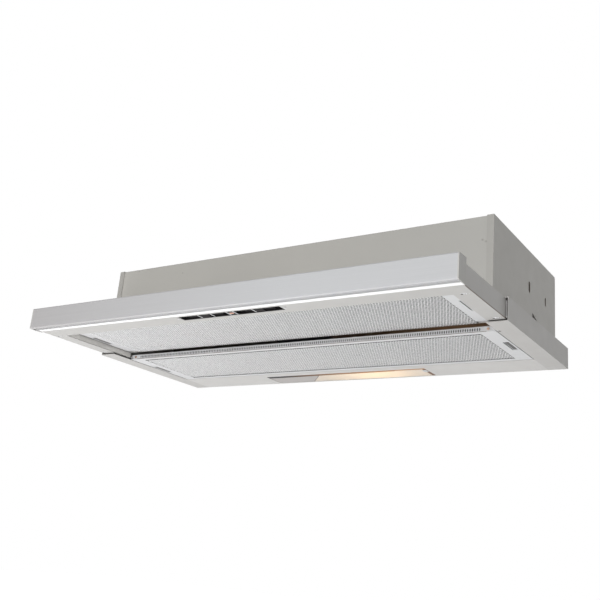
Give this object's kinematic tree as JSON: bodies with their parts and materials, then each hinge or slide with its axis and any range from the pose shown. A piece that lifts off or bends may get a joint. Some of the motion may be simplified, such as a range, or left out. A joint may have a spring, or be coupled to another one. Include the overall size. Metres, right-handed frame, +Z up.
{
  "type": "pull out range hood",
  "caption": "Telescopic range hood for a wall cabinet: grey housing with duct spigot, drawn-out visor with fascia and controls, mesh grease filters, lamp and blower inside.",
  "frame": {"origin": "middle of the wall face, level with the lowest face of the lower frame", "axes": "+X along the hood to the cook's right, +Y from the cook towards the wall, +Z up"},
  "size_m": [0.898, 0.518, 0.2248],
  "materials": {
    "housing_steel": "grey painted sheet, satin",
    "front_steel": "warm grey painted sheet, satin",
    "frame_steel": "silver painted sheet, satin",
    "black_plastic": "matt",
    "grey_plastic": "matt",
    "screw_steel": "bright",
    "shaft_steel": "ground",
    "motor_steel": "grey",
    "brass": "sintered bronze",
    "bracket_steel": "galvanised",
    "rubber": "matt",
    "white_plastic": "matt",
    "red_plastic": "moulded",
    "lamp_steel": "galvanised",
    "reflector_aluminium": "polished",
    "lamp_glass": "frosted",
    "holder_plastic": "moulded",
    "bulb_glass": "frosted, lit",
    "filter_aluminium": "satin",
    "mesh_aluminium": "expanded mesh",
    "copper": "copper plated",
    "latch_steel": "bright",
    "runner_steel": "galvanised",
    "visor_steel": "silver painted sheet, satin",
    "fascia_aluminium": "anodised, satin",
    "end_plastic": "silver grey",
    "white_strip": "white",
    "indicator_plastic": "translucent orange"
  },
  "bodies": {
    "cabinet": {"left_side_panel": "housing_steel", "right_side_panel": "housing_steel", "front_plate": "front_steel", "back_panel": "housing_steel", "top_plate": "housing_steel", "left_frame_channel": "frame_steel", "right_frame_channel": "frame_steel", "rear_strip": "frame_steel", "duct_spigot": "black_plastic", "spigot_screws": "screw_steel", "flap_pin": "screw_steel", "scroll_wrap": "grey_plastic", "scroll_cheeks": "grey_plastic", "motor": "motor_steel", "motor_bearings": "brass", "motor_bracket": "bracket_steel", "motor_mounts": "rubber", "terminal_box": "white_plastic", "terminal_box_lid": "white_plastic", "cable_gland": "black_plastic", "capacitor": "white_plastic", "capacitor_clip": "bracket_steel", "visor_switch": "black_plastic", "lamp_housing": "lamp_steel", "reflector": "reflector_aluminium", "lamp_glass": "lamp_glass", "lamp_holder": "holder_plastic", "bulb": "bulb_glass", "rear_filter_rails": "filter_aluminium", "rear_filter_caps": "filter_aluminium", "rear_filter_mesh": "mesh_aluminium", "rear_filter_studs": "copper", "runner_outers": "runner_steel"},
    "visor": {"visor_side_left": "visor_steel", "visor_side_right": "visor_steel", "visor_front_bar": "visor_steel", "visor_rear_bar": "visor_steel", "fascia": "fascia_aluminium", "fascia_ends": "end_plastic", "grip_strip": "white_strip", "runner_inners": "runner_steel", "front_filter_rails": "filter_aluminium", "front_filter_caps": "filter_aluminium", "front_filter_mesh": "mesh_aluminium", "control_panel": "black_plastic", "bezel_screws": "screw_steel", "indicator": "indicator_plastic"},
    "runner_left": {"runner_middle_left": "runner_steel"},
    "runner_right": {"runner_middle_right": "runner_steel"},
    "rotor": {"blower_wheel": "grey_plastic", "motor_shaft": "shaft_steel"},
    "front_flap": {"front_flap": "grey_plastic"},
    "rear_flap": {"rear_flap": "grey_plastic"},
    "rear_latch_left": {"rear_latch_left": "latch_steel"},
    "rear_latch_right": {"rear_latch_right": "latch_steel"},
    "front_latch_left": {"front_latch_left": "latch_steel"},
    "front_latch_right": {"front_latch_right": "latch_steel"},
    "light_slider": {"light_slider": "black_plastic"},
    "speed_slider": {"speed_slider": "black_plastic"},
    "switch_plunger": {"switch_plunger": "red_plastic"}
  },
  "joints": [
    {"name": "visor_slide", "type": "slide", "parent": "cabinet", "child": "visor", "axis": [0, 1, 0], "range_m": [0, 0.168]},
    {"name": "runner_left_slide", "type": "slide", "parent": "cabinet", "child": "runner_left", "axis": [0, 1, 0], "range_m": [0, 0.084]},
    {"name": "runner_right_slide", "type": "slide", "parent": "cabinet", "child": "runner_right", "axis": [0, 1, 0], "range_m": [0, 0.084]},
    {"name": "wheel_spin", "type": "hinge", "parent": "cabinet", "child": "rotor", "pos_m": [0, -0.204, 0.105], "axis": [1, 0, 0], "continuous": true},
    {"name": "front_flap_hinge", "type": "hinge", "parent": "cabinet", "child": "front_flap", "pos_m": [0, -0.137, 0.1936], "axis": [-1, 0, 0], "range_deg": [0, 80]},
    {"name": "rear_flap_hinge", "type": "hinge", "parent": "cabinet", "child": "rear_flap", "pos_m": [0, -0.137, 0.1936], "axis": [1, 0, 0], "range_deg": [0, 80]},
    {"name": "rear_latch_left_slide", "type": "slide", "parent": "cabinet", "child": "rear_latch_left", "axis": [1, 0, 0], "range_m": [0, 0.0055], "stiffness_N_per_m": 400},
    {"name": "rear_latch_right_slide", "type": "slide", "parent": "cabinet", "child": "rear_latch_right", "axis": [-1, 0, 0], "range_m": [0, 0.0055], "stiffness_N_per_m": 400},
    {"name": "front_latch_left_slide", "type": "slide", "parent": "visor", "child": "front_latch_left", "axis": [1, 0, 0], "range_m": [0, 0.0055], "stiffness_N_per_m": 400},
    {"name": "front_latch_right_slide", "type": "slide", "parent": "visor", "child": "front_latch_right", "axis": [-1, 0, 0], "range_m": [0, 0.0055], "stiffness_N_per_m": 400},
    {"name": "light_switch_slide", "type": "slide", "parent": "visor", "child": "light_slider", "axis": [1, 0, 0], "range_m": [-0.012, 0.012]},
    {"name": "speed_switch_slide", "type": "slide", "parent": "visor", "child": "speed_slider", "axis": [1, 0, 0], "range_m": [-0.015, 0.015]},
    {"name": "plunger_press", "type": "slide", "parent": "cabinet", "child": "switch_plunger", "axis": [0, 1, 0], "range_m": [0, 0.0012], "stiffness_N_per_m": 800}
  ],
  "couplings": [
    {"joint": "runner_left_slide", "follows": "visor_slide", "ratio": 0.5},
    {"joint": "runner_right_slide", "follows": "visor_slide", "ratio": 0.5}
  ]
}
